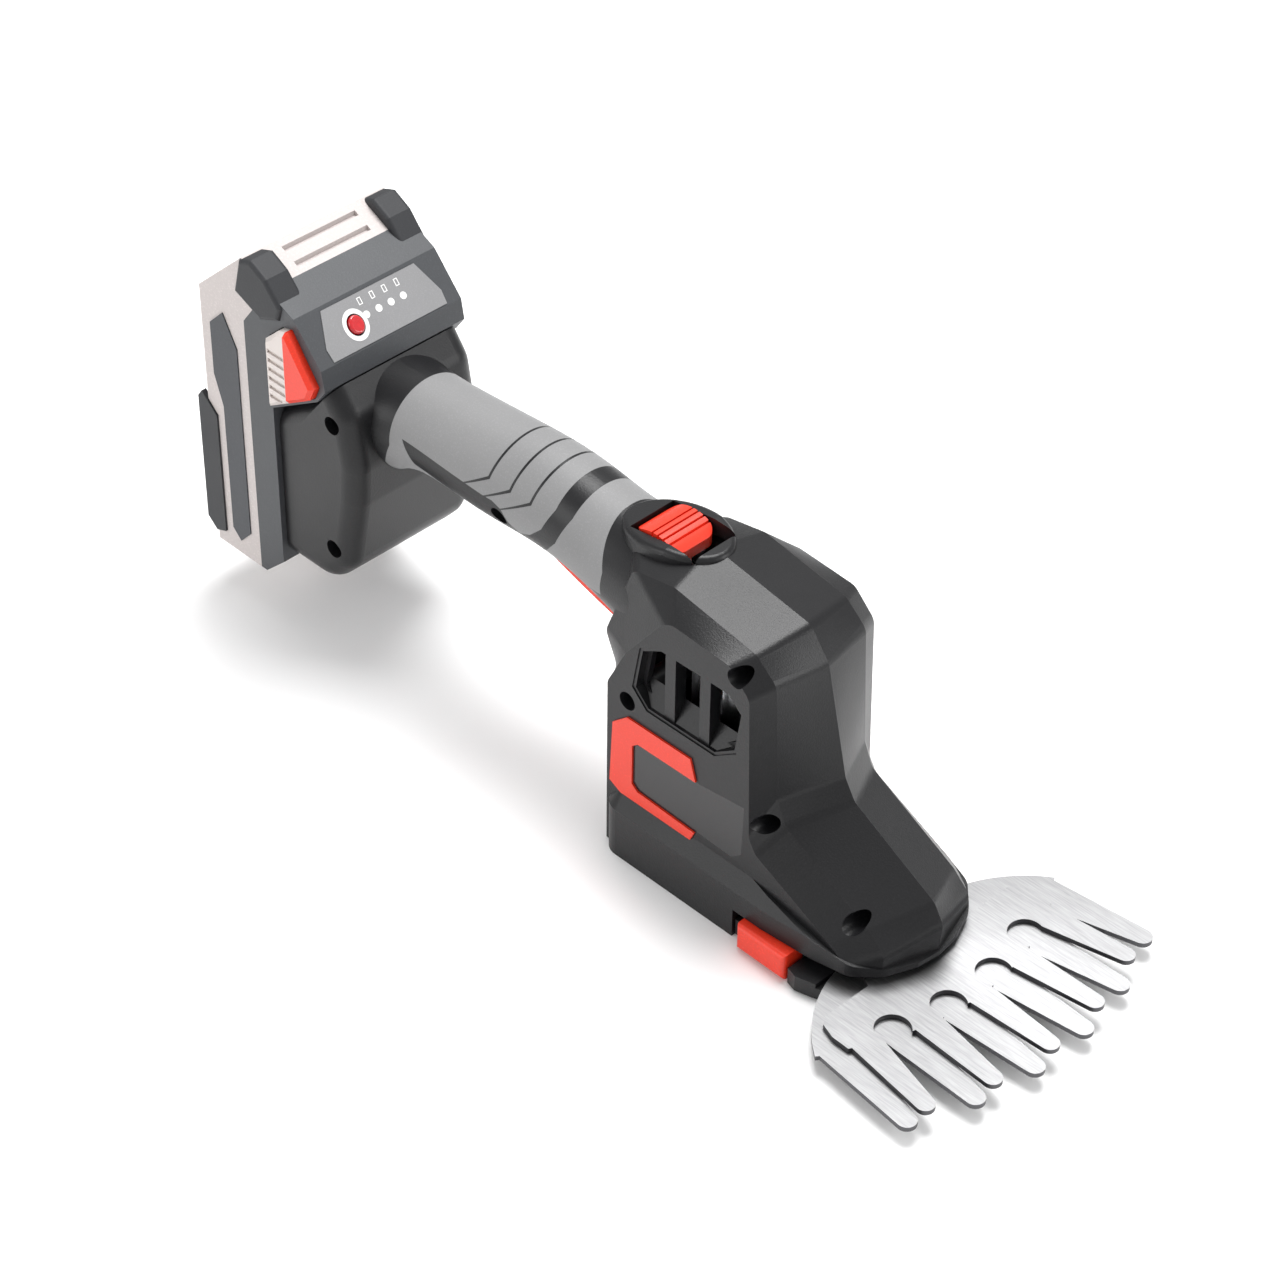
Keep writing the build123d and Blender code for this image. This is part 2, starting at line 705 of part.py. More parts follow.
# ------------------------------------------------------------------ motor
can_bore = motor_radius - motor_wall
with BuildPart() as motor_can:
    add(disc(motor_x, 0, motor_radius, motor_bottom, can_top))
    add(disc(motor_x, 0, can_bore, motor_bottom + motor_end, can_top - motor_end), mode=Mode.SUBTRACT)
    add(disc(motor_x, 0, shaft_radius + bush_wall, motor_bottom - 1, can_top + 1), mode=Mode.SUBTRACT)
    for side in (-1, 1):
        window_low = (motor_x - 5, side * motor_radius - 4, can_top - 20)
        window_high = (motor_x + 5, side * motor_radius + 4, can_top - 8)
        add(box(window_low, window_high), mode=Mode.SUBTRACT)
save(motor_can.part, "motor_can")

bush_bore = shaft_radius + running_fit
with BuildPart() as motor_bushes:
    for low in (motor_bottom, can_top - motor_end):
        add(tube(motor_x, 0, bush_bore, shaft_radius + bush_wall, low, low + motor_end))
save(motor_bushes.part, "motor_bushes")

save(disc(motor_x, 0, shaft_radius, pinion_low, can_top + 11), "rotor_shaft")
armature_radius = can_bore - magnet_thickness - armature_gap
with BuildPart() as armature:
    add(tube(motor_x, 0, shaft_radius, armature_radius, motor_bottom + 10, can_top - 16))
    add(tube(motor_x, 0, shaft_radius, 5, can_top - 16, can_top - 6))
save(armature.part, "armature")
with BuildPart() as magnets:
    with BuildSketch(Plane.XY.offset(motor_bottom + 6)):
        with Locations((motor_x, 0)):
            Circle(can_bore)
            Circle(can_bore - magnet_thickness, mode=Mode.SUBTRACT)
            Rectangle(3 * motor_radius, 12, mode=Mode.SUBTRACT)
    extrude(amount=motor_height - 22)
save(magnets.part, "motor_magnets")

with BuildPart() as cooling_fan:
    add(tube(motor_x, 0, shaft_radius, 4, can_top + 2, can_top + 10))
    add(tube(motor_x, 0, shaft_radius, fan_radius, can_top + 2, can_top + 3.4))
    with BuildSketch(Plane.XY.offset(can_top + 3.4)):
        with Locations((motor_x, 0)):
            with PolarLocations(fan_radius / 2 + 1.2, fan_blades):
                Rectangle(fan_radius - 3.2, 1.2)
    extrude(amount=5)
save(cooling_fan.part, "cooling_fan")


# ------------------------------------------------------------------ trigger, switch and lock
with BuildPart() as trigger:
    with BuildSketch(Plane.XZ.offset(-trigger_half_width)):
        with BuildLine():
            Polyline((-97, 82), (-97, 91), (-62, 89), (-58.5, 88), (-58.5, 74), (-60, 70.5))
            ThreePointArc((-60, 70.5), (-78, 75.5), (-97, 82))
        make_face()
        with Locations(trigger_pivot):
            Circle(trigger_pin_radius + 2)
            Circle(trigger_pin_radius + running_fit, mode=Mode.SUBTRACT)
    extrude(amount=2 * trigger_half_width)
    chamfer(trigger.edges().filter_by(GeomType.LINE).filter_by(Axis.Y).group_by(Axis.Z)[0], length=0.6)
save(trigger.part, "trigger")
save(side_bar(*trigger_pivot, trigger_pin_radius, -trigger_pin_reach, trigger_pin_reach), "trigger_pin")
save(box((-86, -trigger_half_width, switch_low), (-66, trigger_half_width, 104.5)), "trigger_switch")
save(coil((-76, 0, 90.5), (0, 0, 1), 2.6, 0.4, 5.6, 5), "trigger_spring")

with BuildPart() as lock_button:
    with BuildSketch(Plane.XZ.offset(-lock_half_width)):
        with BuildLine():
            crown_middle = (lock_rear + lock_length / 2 - 2, lock_floor + lock_crown)
            edge_height = lock_floor + lock_edge
            Line((lock_rear, edge_height), (lock_rear, lock_floor + 0.2))
            Line((lock_rear, lock_floor + 0.2), (lock_front, lock_floor + 0.2))
            Line((lock_front, lock_floor + 0.2), (lock_front, edge_height))
            ThreePointArc((lock_front, edge_height), crown_middle, (lock_rear, edge_height))
        make_face()
    extrude(amount=2 * lock_half_width)
    fillet(lock_button.edges().filter_by(Axis.Z), radius=4)
    for groove_number in range(4):
        groove_x = lock_front - 4 - 2.4 * groove_number
        add(box((groove_x, -20, lock_floor + 5.6), (groove_x + 0.8, 20, lock_floor + 9)), mode=Mode.SUBTRACT)
    stem_low = (lock_stem[0], -lock_stem_half_width, 98.5)
    add(box(stem_low, (lock_stem[1], lock_stem_half_width, lock_floor + 0.2)))
save(lock_button.part, "lock_button")
save(coil((lock_stem[1] + 0.4, 0, 101.5), (1, 0, 0), 1.8, 0.35, 3.6, 4), "lock_spring")


# ------------------------------------------------------------------ blade latches
def blade_latch():
    """Right-hand push latch that lets the blade cassette go."""
    top = cassette_top - 0.3
    with BuildPart() as latch:
        add(box((latch_start, -latch_outer, 1), (latch_end, -latch_inner, top)))
        fillet(latch.edges().group_by(Axis.Y)[0], radius=2)
        chamfer(latch.edges().filter_by(Axis.Z).group_by(Axis.Y)[-1], length=1)
        tongue_outer = -rim_half_width + latch_cover + latch_travel + 0.4
        add(box((latch_tongue[0], tongue_outer, top), (latch_tongue[1], -latch_inner, latch_tongue_top)))
    return latch.part


right_latch = blade_latch()
save(right_latch, "right_blade_latch")
save(mirrored(right_latch), "left_blade_latch")


# ------------------------------------------------------------------ blades
def tooth(root, root_half, tip, tip_radius):
    """A tapered tooth with a round tip, added to the sketch that is open."""
    run, rise = tip[0] - root[0], tip[1] - root[1]
    length = hypot(run, rise)
    along = (run / length, rise / length)
    across = (-along[1], along[0])
    lean = asin((root_half - tip_radius) / length)
    corners = []
    for side in (-1, 1):
        corners.append((root[0] + across[0] * root_half * side, root[1] + across[1] * root_half * side))
    for side in (1, -1):
        reach_x = along[0] * sin(lean) + across[0] * cos(lean) * side
        reach_y = along[1] * sin(lean) + across[1] * cos(lean) * side
        corners.append((tip[0] + tip_radius * reach_x, tip[1] + tip_radius * reach_y))
    Polygon(*corners, align=None)
    with Locations(tip):
        Circle(tip_radius)


def on_circle(reach, angle):
    """A point at an angle in degrees from the X axis."""
    return (reach * cos(radians(angle)), reach * sin(radians(angle)))


with BuildPart() as lower_blade:
    with BuildSketch(Plane.XY.offset(lower_blade_bottom)):
        with BuildLine():
            shoulder_x, shoulder_y = fixed_shoulder
            Polyline((56, 24), (56, 22), (-12, 19), (-12, -19), (56, -22), (56, -24))
            ThreePointArc((56, -24), (62.3, -41), (shoulder_x, -shoulder_y))
            ThreePointArc((shoulder_x, -shoulder_y), (hypot(*fixed_shoulder), 0), (shoulder_x, shoulder_y))
            ThreePointArc((shoulder_x, shoulder_y), (62.3, 41), (56, 24))
        make_face()
        for number in range(fixed_teeth):
            step = number - (fixed_teeth - 1) / 2
            root = on_circle(fixed_root_reach, step * fixed_root_pitch)
            tip = on_circle(fixed_tip_reach, step * fixed_pitch)
            tooth(root, fixed_root_half, tip, fixed_tip_radius)
        Circle(pivot_radius, mode=Mode.SUBTRACT)
        with Locations(*blade_screw_places):
            Circle(blade_screw_radius, mode=Mode.SUBTRACT)
    extrude(amount=blade_thickness)
save(lower_blade.part, "lower_blade")

blade_turn = Plane.XY.rotated((0, 0, rest_swing))
moving_side = [
    (77, moving_half_width), (71.5, 45), (moving_shoulder_x, 42), (moving_shoulder_x, 23), (62, 19),
    (44, 15), (8, 13), (-8, 8),
]
with BuildPart() as upper_blade:
    with BuildSketch(blade_turn.offset(upper_blade_bottom)):
        front_reach = moving_root_reach - 1
        front_x = (front_reach**2 - moving_half_width**2) ** 0.5
        with BuildLine():
            Polyline((front_x, moving_half_width), *mirrored_outline(moving_side), (front_x, -moving_half_width))
            ThreePointArc((front_x, -moving_half_width), (front_reach, 0), (front_x, moving_half_width))
        make_face()
        for number in range(moving_teeth):
            step = number - (moving_teeth - 1) / 2
            root = on_circle(moving_root_reach - 4, step * moving_root_pitch)
            tip = on_circle(moving_tip_reach, step * moving_pitch)
            tooth(root, moving_root_half, tip, moving_tip_radius)
        for number in range(moving_teeth - 1):
            step = number - (moving_teeth - 2) / 2
            with Locations(on_circle(gullet_reach, step * moving_root_pitch)):
                Circle(gullet_radius, mode=Mode.SUBTRACT)
        Circle(pivot_radius + running_fit, mode=Mode.SUBTRACT)
    extrude(amount=blade_thickness)
save(upper_blade.part, "upper_blade")

fork_slot = eccentric_throw + eccentric_radius + 4.6
fork_half = fork_slot + 4.3
fork_front = crank_x + 9
fork_top = lower_plate_low - 0.5
with BuildPart() as drive_fork:
    with BuildSketch(blade_turn.offset(upper_blade_top)):
        Polygon(*mirrored_outline([(crank_x - 14, fork_half), (fork_front, fork_half)]), align=None)
        slot = mirrored_outline([(crank_x - 8.6, fork_slot), (fork_front + 2, fork_slot)])
        Polygon(*slot, align=None, mode=Mode.SUBTRACT)
    extrude(amount=fork_top - upper_blade_top)
    chamfer(drive_fork.edges().filter_by(Axis.Z).group_by(Axis.X)[0], length=3)
save(drive_fork.part, "drive_fork")

tray_outline = [
    (cassette_rear, cassette_half_width), (18.4, cassette_half_width), (18.4, rim_half_width - 1),
    (latch_start - 1.1, rim_half_width - 1), (latch_start - 1.1, latch_inner - latch_travel - 1),
    (latch_end + 1.1, latch_inner - latch_travel - 1), (latch_end + 1.1, rim_half_width + 3),
    (49, rim_half_width + 4), (55, rim_half_width + 2.4), (61, rim_half_width), (cassette_front, 24),
]
with BuildPart() as cassette_tray:
    add(plan_block(mirrored_outline(tray_outline), 0, blade_plane))
    chamfer(cassette_tray.faces().sort_by(Axis.Z)[0].outer_wire().edges(), length=tray_edge)
    blade_room = mirrored_outline([(-12, 19), (56, 22), (56, 40), (80, 40)])
    add(plan_block(blade_room, lower_blade_bottom, 20), mode=Mode.SUBTRACT)
    add(disc(0, 0, pivot_radius, cassette_floor, 20), mode=Mode.SUBTRACT)
    for x, y in blade_screw_places:
        add(disc(x, y, blade_screw_radius, cassette_floor, 20), mode=Mode.SUBTRACT)
save(cassette_tray.part, "cassette_tray")

bolt_seat = upper_blade_top + 0.2
bolt_top = lower_plate_low - 0.4
with BuildPart() as pivot_bolt:
    add(disc(0, 0, pivot_radius, cassette_floor, bolt_seat))
    add(disc(0, 0, pivot_radius + pivot_head_rim, bolt_seat, bolt_top))
    with BuildSketch(Plane.XY.offset(bolt_top)):
        RegularPolygon(2.2, 6)
    extrude(amount=-1.8, mode=Mode.SUBTRACT)
save(pivot_bolt.part, "pivot_bolt")

with BuildPart() as blade_screws:
    for x, y in blade_screw_places:
        add(disc(x, y, blade_screw_radius, cassette_floor, blade_plane))
save(blade_screws.part, "blade_screws")


# ------------------------------------------------------------------ battery shells
def battery_solid(inset):
    """Outer shape of the battery, each face moved inwards by inset."""
    reach = battery_half_width - inset
    with BuildPart() as pack:
        add(prism(inset_outline(battery_profile, inset), -reach, reach))
        for side in (0, -1):
            chamfer(pack.edges().group_by(Axis.Y)[side].group_by(Axis.X)[0], length=battery_corner)
    return pack.part


side_face = -battery_half_width
with BuildPart() as ear:
    add(prism(ear_outline, side_face - ear_proud, side_face + ear_width))
    fillet(ear.edges().group_by(Axis.Y)[0], radius=ear_edge_radius)
    fillet(ear.edges().group_by(Axis.Y)[-1], radius=ear_edge_radius)
bumper = prism(bumper_outline, side_face - bumper_proud, side_face + bumper_depth)
side_panel = prism(side_panel_outline, side_face - side_panel_proud, side_face + side_panel_depth)
release_inner = side_face + release_travel + 1.6
release_pocket = prism(inset_outline(release_outline, -0.4), side_face - 9, release_inner + 2.8)

with BuildPart() as battery_walls:
    add(battery_solid(0))
    add(battery_solid(battery_wall), mode=Mode.SUBTRACT)
    for fitted in (ear.part, bumper, side_panel, release_pocket):
        add(both_sides(fitted), mode=Mode.SUBTRACT)

with BuildPart() as battery_rear_shell:
    add(battery_walls.part)
    add(prism(rear_shell_region, -50, 50), mode=Mode.INTERSECT)
    for slot_x, slot_z in top_slot_places:
        slot_low = (slot_x - 1, -top_slot_half_length, slot_z - 1.2)
        add(box(slot_low, (slot_x + 1, top_slot_half_length, slot_z + 4)), mode=Mode.SUBTRACT)
save(battery_rear_shell.part, "battery_rear_shell")

case_face = foot_rear - battery_gap
rail_step = foot_rear + rail_lip + 0.2
rail_end = foot_rear + rail_depth - rail_clearance
tongue_half_width = terminal_half_width - 1.5
terminal_places = [terminal_pitch * (number - (terminal_count - 1) / 2) for number in range(terminal_count)]
with BuildPart() as battery_front_case:
    add(battery_walls.part)
    add(prism(rear_shell_region, -50, 50), mode=Mode.SUBTRACT)
    for side in (-1, 1):
        inner, outer = sorted((side * rail_inner, side * (rail_half_width - rail_neck)))
        add(box((case_face, inner, rail_bottom), (rail_step, outer, rail_top)))
        inner, outer = sorted((side * rail_inner, side * rail_half_width))
        add(box((rail_step, inner, rail_bottom), (rail_end, outer, rail_top)))
    add(box((case_face, -tongue_half_width, 52), (rail_end, tongue_half_width, rail_top)))
    for y in terminal_places:
        slot_low = (case_face + 0.5, y - 0.9, 50)
        add(box(slot_low, (foot_rear + rail_depth + 1, y + 0.9, 78)), mode=Mode.SUBTRACT)
    with BuildSketch(gauge_plane.offset(-gauge_depth)):
        Polygon(*gauge_outline, align=None)
    extrude(amount=4, mode=Mode.SUBTRACT)
    with BuildSketch(gauge_plane):
        with Locations(gauge_button_place):
            Ellipse(gauge_button_size[0] + 0.3, gauge_button_size[1] + 0.3)
    extrude(amount=-5, mode=Mode.SUBTRACT)
save(battery_front_case.part, "battery_front_case")

save(both_sides(bumper), "battery_bumpers")
save(ear.part, "right_battery_ear")
save(mirrored(ear.part), "left_battery_ear")
save(both_sides(side_panel), "battery_side_panels")


# ------------------------------------------------------------------ battery gauge and release buttons
gauge_face = gauge_plane.offset(0.3)
mark_places = [(y, rise + gauge_mark_rise) for y, rise in gauge_light_places]
with BuildPart() as gauge_panel:
    with BuildSketch(gauge_plane.offset(-gauge_depth)):
        Polygon(*inset_outline(gauge_outline, 0.1), align=None)
        with Locations(gauge_button_place):
            Ellipse(gauge_button_size[0] + 0.5, gauge_button_size[1] + 0.5, mode=Mode.SUBTRACT)
        with Locations(*gauge_light_places):
            Circle(gauge_light_radius, mode=Mode.SUBTRACT)
    extrude(amount=gauge_depth + 0.3)
save(gauge_panel.part, "gauge_panel")

with BuildPart() as gauge_marks:
    with BuildSketch(gauge_face):
        with Locations(gauge_button_place):
            Ellipse(*gauge_ring_size)
            Ellipse(gauge_button_size[0] + 0.6, gauge_button_size[1] + 0.6, mode=Mode.SUBTRACT)
        with Locations(*gauge_light_places):
            Circle(gauge_light_radius + 0.1, mode=Mode.SUBTRACT)
        with Locations(*mark_places):
            Rectangle(*gauge_mark_size)
            Rectangle(gauge_mark_size[0] - 0.6, gauge_mark_size[1] - 0.6, mode=Mode.SUBTRACT)
    extrude(amount=0.08)
save(gauge_marks.part, "gauge_marks")

with BuildPart() as gauge_lights:
    with BuildSketch(gauge_plane.offset(-gauge_depth)):
        with Locations(*gauge_light_places):
            Circle(gauge_light_radius)
    extrude(amount=gauge_depth + 0.4)
save(gauge_lights.part, "gauge_lights")

with BuildPart() as gauge_button:
    with BuildSketch(gauge_plane.offset(-1.6)):
        with Locations(gauge_button_place):
            Ellipse(*gauge_button_size)
    extrude(amount=3)
    crown = gauge_button.faces().sort_by(Axis(gauge_plane.origin, gauge_plane.z_dir))[-1]
    fillet(crown.edges(), radius=0.8)
save(gauge_button.part, "gauge_button")

release_outer = side_face - release_proud
with BuildPart() as right_release:
    add(prism(release_outline, release_outer, release_inner))
    chamfer(right_release.edges().group_by(Axis.Y)[0], length=release_edge)
    for rib in range(release_rib_count):
        rib_z = 101 + 3.6 * rib
        rib_room_low = (-197, release_outer - 1, rib_z)
        add(box(rib_room_low, (-189, release_outer + 0.8, rib_z + 1.5)), mode=Mode.SUBTRACT)
save(right_release.part, "right_release_button")
save(mirrored(right_release.part), "left_release_button")


# ------------------------------------------------------------------ inside the battery and the foot
rear_row_x = -240 + battery_wall + cell_radius + 0.1
front_row_x = rear_row_x + cell_spacing * cos(radians(30))
cell_places = [(rear_row_x, -cell_spacing), (rear_row_x, 0), (rear_row_x, cell_spacing)]
cell_places += [(front_row_x, -cell_spacing / 2), (front_row_x, cell_spacing / 2)]
cell_top = cell_bottom + cell_length
with BuildPart() as cells:
    for x, y in cell_places:
        add(disc(x, y, cell_radius, cell_bottom, cell_top))
save(cells.part, "battery_cells")
save(box((-233, -27, cell_top), (-204, 27, cell_top + 3)), "cell_holder")
save(box((-232, -22, cell_top + 6), (-206, 22, cell_top + 7.6)), "battery_board")

with BuildPart() as battery_contacts:
    for y in terminal_places:
        for side in (-1, 1):
            centre = y + side * 0.72
            add(box((foot_rear + 0.6, centre - 0.15, 60), (foot_rear + 5, centre + 0.15, 76)))
save(battery_contacts.part, "battery_contacts")

block_low = (foot_rear + 0.2, -terminal_half_width, 40)
save(box(block_low, (foot_rear + foot_back_depth + 3, terminal_half_width, 50)), "terminal_block")
with BuildPart() as tool_terminals:
    for y in terminal_places:
        add(box((foot_rear + 1, y - 0.4, 50), (foot_rear + 6, y + 0.4, 72)))
save(tool_terminals.part, "tool_terminals")
save(box((-184, -20, 46), (-182.4, 20, 90)), "control_board")
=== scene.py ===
import math

import bpy
from mathutils import Matrix, Vector

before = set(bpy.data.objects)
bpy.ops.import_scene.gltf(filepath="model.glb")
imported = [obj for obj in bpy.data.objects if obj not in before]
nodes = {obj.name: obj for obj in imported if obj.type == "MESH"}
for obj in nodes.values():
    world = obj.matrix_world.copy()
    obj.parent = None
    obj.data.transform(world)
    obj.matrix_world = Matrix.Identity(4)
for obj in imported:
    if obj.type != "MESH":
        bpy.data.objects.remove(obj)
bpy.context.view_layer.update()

# ---------------------------------------------------------------- studio
# A pale seamless floor under soft boxes, and one long-lens camera that looks
# down on the tool from the front and its right-hand side.
camera_azimuth = math.radians(44.68)
camera_elevation = math.radians(39.60)
camera_roll = math.radians(0.79)
camera_place = Vector((0.5547, -0.6180, 0.7786))

camera_data = bpy.data.cameras.new("camera")
camera_data.lens = 97.9
camera_data.sensor_width = 36.0
camera = bpy.data.objects.new("camera", camera_data)
bpy.context.collection.objects.link(camera)
turn = Matrix.Rotation(camera_azimuth, 4, "Z")
tilt = Matrix.Rotation(math.pi / 2 - camera_elevation, 4, "X")
roll = Matrix.Rotation(camera_roll, 4, "Z")
camera.matrix_world = Matrix.Translation(camera_place) @ (turn @ tilt) @ roll
bpy.context.scene.camera = camera


def soft_box(name, place, target, size, power):
    """A square area light that faces a point on the tool."""
    data = bpy.data.lights.new(name, "AREA")
    data.shape = "SQUARE"
    data.size = size
    data.energy = power
    lamp = bpy.data.objects.new(name, data)
    lamp.location = place
    lamp.rotation_euler = (Vector(target) - Vector(place)).to_track_quat("-Z", "Y").to_euler()
    bpy.context.collection.objects.link(lamp)


soft_box("top_light", (-0.25, 0.30, 1.30), (-0.05, 0, 0.05), size=0.7, power=20.0)
soft_box("front_light", (1.10, 0.60, 0.60), (0, 0, 0.06), size=0.7, power=7.0)
soft_box("side_light", (-0.55, -1.15, 0.55), (-0.05, 0, 0.06), size=0.7, power=5.0)

world = bpy.data.worlds.new("studio")
world.use_nodes = True
world.node_tree.nodes["Background"].inputs["Color"].default_value = (1, 1, 1, 1)
world.node_tree.nodes["Background"].inputs["Strength"].default_value = 0.60
bpy.context.scene.world = world
bpy.context.scene.view_settings.view_transform = "Standard"

floor_mesh = bpy.data.meshes.new("floor")
floor_half = 4.0
floor_corners = [(-floor_half, -floor_half, 0), (floor_half, -floor_half, 0)]
floor_corners += [(floor_half, floor_half, 0), (-floor_half, floor_half, 0)]
floor_mesh.from_pydata(floor_corners, [], [(0, 1, 2, 3)])
floor = bpy.data.objects.new("floor", floor_mesh)
bpy.context.collection.objects.link(floor)
floor_paint = bpy.data.materials.new("floor_paint")
floor_paint.use_nodes = True
floor_shader = floor_paint.node_tree.nodes["Principled BSDF"]
floor_shader.inputs["Base Color"].default_value = (0.93, 0.93, 0.93, 1)
floor_shader.inputs["Roughness"].default_value = 0.9
floor_mesh.materials.append(floor_paint)


# ---------------------------------------------------------------- housing halves
# Two glass-filled nylon clamshells, injection moulded with a spark-eroded
# texture. Seven screws from the right-hand side hold them together along the
# middle seam. Grilles, tray, gear plates, switch and terminal block share the finish.
def moulded(name, colour, roughness, grain_size, grain_depth,
            mottle=0.06, sheen=0.0, coat=0.0, shine=0.5):
    """Moulded plastic or rubber: a fine grain in relief, faintly cloudy in colour and gloss."""
    material = bpy.data.materials.new(name)
    material.use_nodes = True
    tree = material.node_tree
    shader = tree.nodes["Principled BSDF"]
    shader.inputs["Specular IOR Level"].default_value = shine
    shader.inputs["Sheen Weight"].default_value = sheen
    shader.inputs["Coat Weight"].default_value = coat
    place = tree.nodes.new("ShaderNodeTexCoord")
    grain = tree.nodes.new("ShaderNodeTexNoise")
    grain.inputs["Scale"].default_value = 1 / grain_size
    grain.inputs["Detail"].default_value = 3.0
    cloud = tree.nodes.new("ShaderNodeTexNoise")
    cloud.inputs["Scale"].default_value = 35.0
    cloud.inputs["Detail"].default_value = 4.0
    tint = tree.nodes.new("ShaderNodeMix")
    tint.data_type = "RGBA"
    tint.inputs["A"].default_value = (*[channel * (1 - mottle) for channel in colour], 1)
    tint.inputs["B"].default_value = (*[channel * (1 + mottle) for channel in colour], 1)
    speck = tree.nodes.new("ShaderNodeMix")
    speck.data_type = "RGBA"
    speck_gain, speck_lift = 1.35, 0.002
    speck_colour = [min(1, channel * speck_gain + speck_lift) for channel in colour]
    speck.inputs["B"].default_value = (*speck_colour, 1)
    speck_share = tree.nodes.new("ShaderNodeMapRange")
    speck_share.inputs["From Min"].default_value = 0.52
    speck_share.inputs["From Max"].default_value = 0.75
    speck_share.inputs["To Max"].default_value = 0.55
    gloss = tree.nodes.new("ShaderNodeMapRange")
    gloss.inputs["To Min"].default_value = roughness - 0.05
    gloss.inputs["To Max"].default_value = roughness + 0.05
    bump = tree.nodes.new("ShaderNodeBump")
    bump.inputs["Strength"].default_value = 0.5
    bump.inputs["Distance"].default_value = grain_depth
    link = tree.links.new
    link(place.outputs["Object"], grain.inputs["Vector"])
    link(place.outputs["Object"], cloud.inputs["Vector"])
    link(cloud.outputs["Fac"], tint.inputs["Factor"])
    link(grain.outputs["Fac"], speck_share.inputs["Value"])
    link(tint.outputs["Result"], speck.inputs["A"])
    link(speck_share.outputs["Result"], speck.inputs["Factor"])
    link(speck.outputs["Result"], shader.inputs["Base Color"])
    link(cloud.outputs["Fac"], gloss.inputs["Value"])
    link(gloss.outputs["Result"], shader.inputs["Roughness"])
    link(grain.outputs["Fac"], bump.inputs["Height"])
    link(bump.outputs["Normal"], shader.inputs["Normal"])
    return material


def finish_nodes(material, names):
    """Give a material to CAD nodes."""
    for name in names:
        piece = nodes[name]
        piece.data.materials.clear()
        piece.data.materials.append(material)


def soften(names, width, segments=2, angle=28):
    """Round the sharp edges of CAD nodes, as a mould or a tumbler leaves them."""
    for name in names:
        bevel = nodes[name].modifiers.new("edge_radius", "BEVEL")
        bevel.width = width
        bevel.segments = segments
        bevel.limit_method = "ANGLE"
        bevel.angle_limit = math.radians(angle)
        bevel.harden_normals = False


housing_black = moulded("housing_black", (0.009, 0.009, 0.010), roughness=0.36,
                        grain_size=0.0006, grain_depth=0.00012, shine=0.34)
finish_nodes(housing_black, ["right_housing", "left_housing", "right_vent_grille",
                             "left_vent_grille", "cassette_tray"])
finish_nodes(housing_black, ["lower_gear_plate", "middle_gear_plate", "trigger_switch",
                             "terminal_block"])
soften(["right_housing", "left_housing"], width=0.0007)
soften(["right_vent_grille", "left_vent_grille", "cassette_tray"], width=0.0004)

# ---------------------------------------------------------------- grips
# Soft grey rubber moulded over each half of the handle, with three thin grooves
# and a matt finish that shows no gloss.
grip_grey = moulded("grip_grey", (0.205, 0.205, 0.207), roughness=0.6,
                    grain_size=0.0005, grain_depth=0.00007, sheen=0.1)
finish_nodes(grip_grey, ["right_grip", "left_grip"])
soften(["right_grip", "left_grip"], width=0.0003)

# ---------------------------------------------------------------- orange controls and trim
# Trigger, lock and blade latches are satin ABS in a signal orange, and so are the
# frames round the plates. The frames and the blank black plates sit in pockets.
orange_colour = (0.74, 0.032, 0.009)
orange = moulded("signal_orange", orange_colour, roughness=0.38,
                 grain_size=0.0007, grain_depth=0.00006, mottle=0.03)
orange_names = ["trigger", "lock_button", "right_blade_latch", "left_blade_latch"]
orange_names += ["right_accent_frame", "left_accent_frame"]
finish_nodes(orange, orange_names)
soften(orange_names, width=0.0005, segments=3)
plate_black = moulded("plate_black", (0.012, 0.012, 0.013), roughness=0.22,
                      grain_size=0.0004, grain_depth=0.00002)
finish_nodes(plate_black, ["rating_plates"])


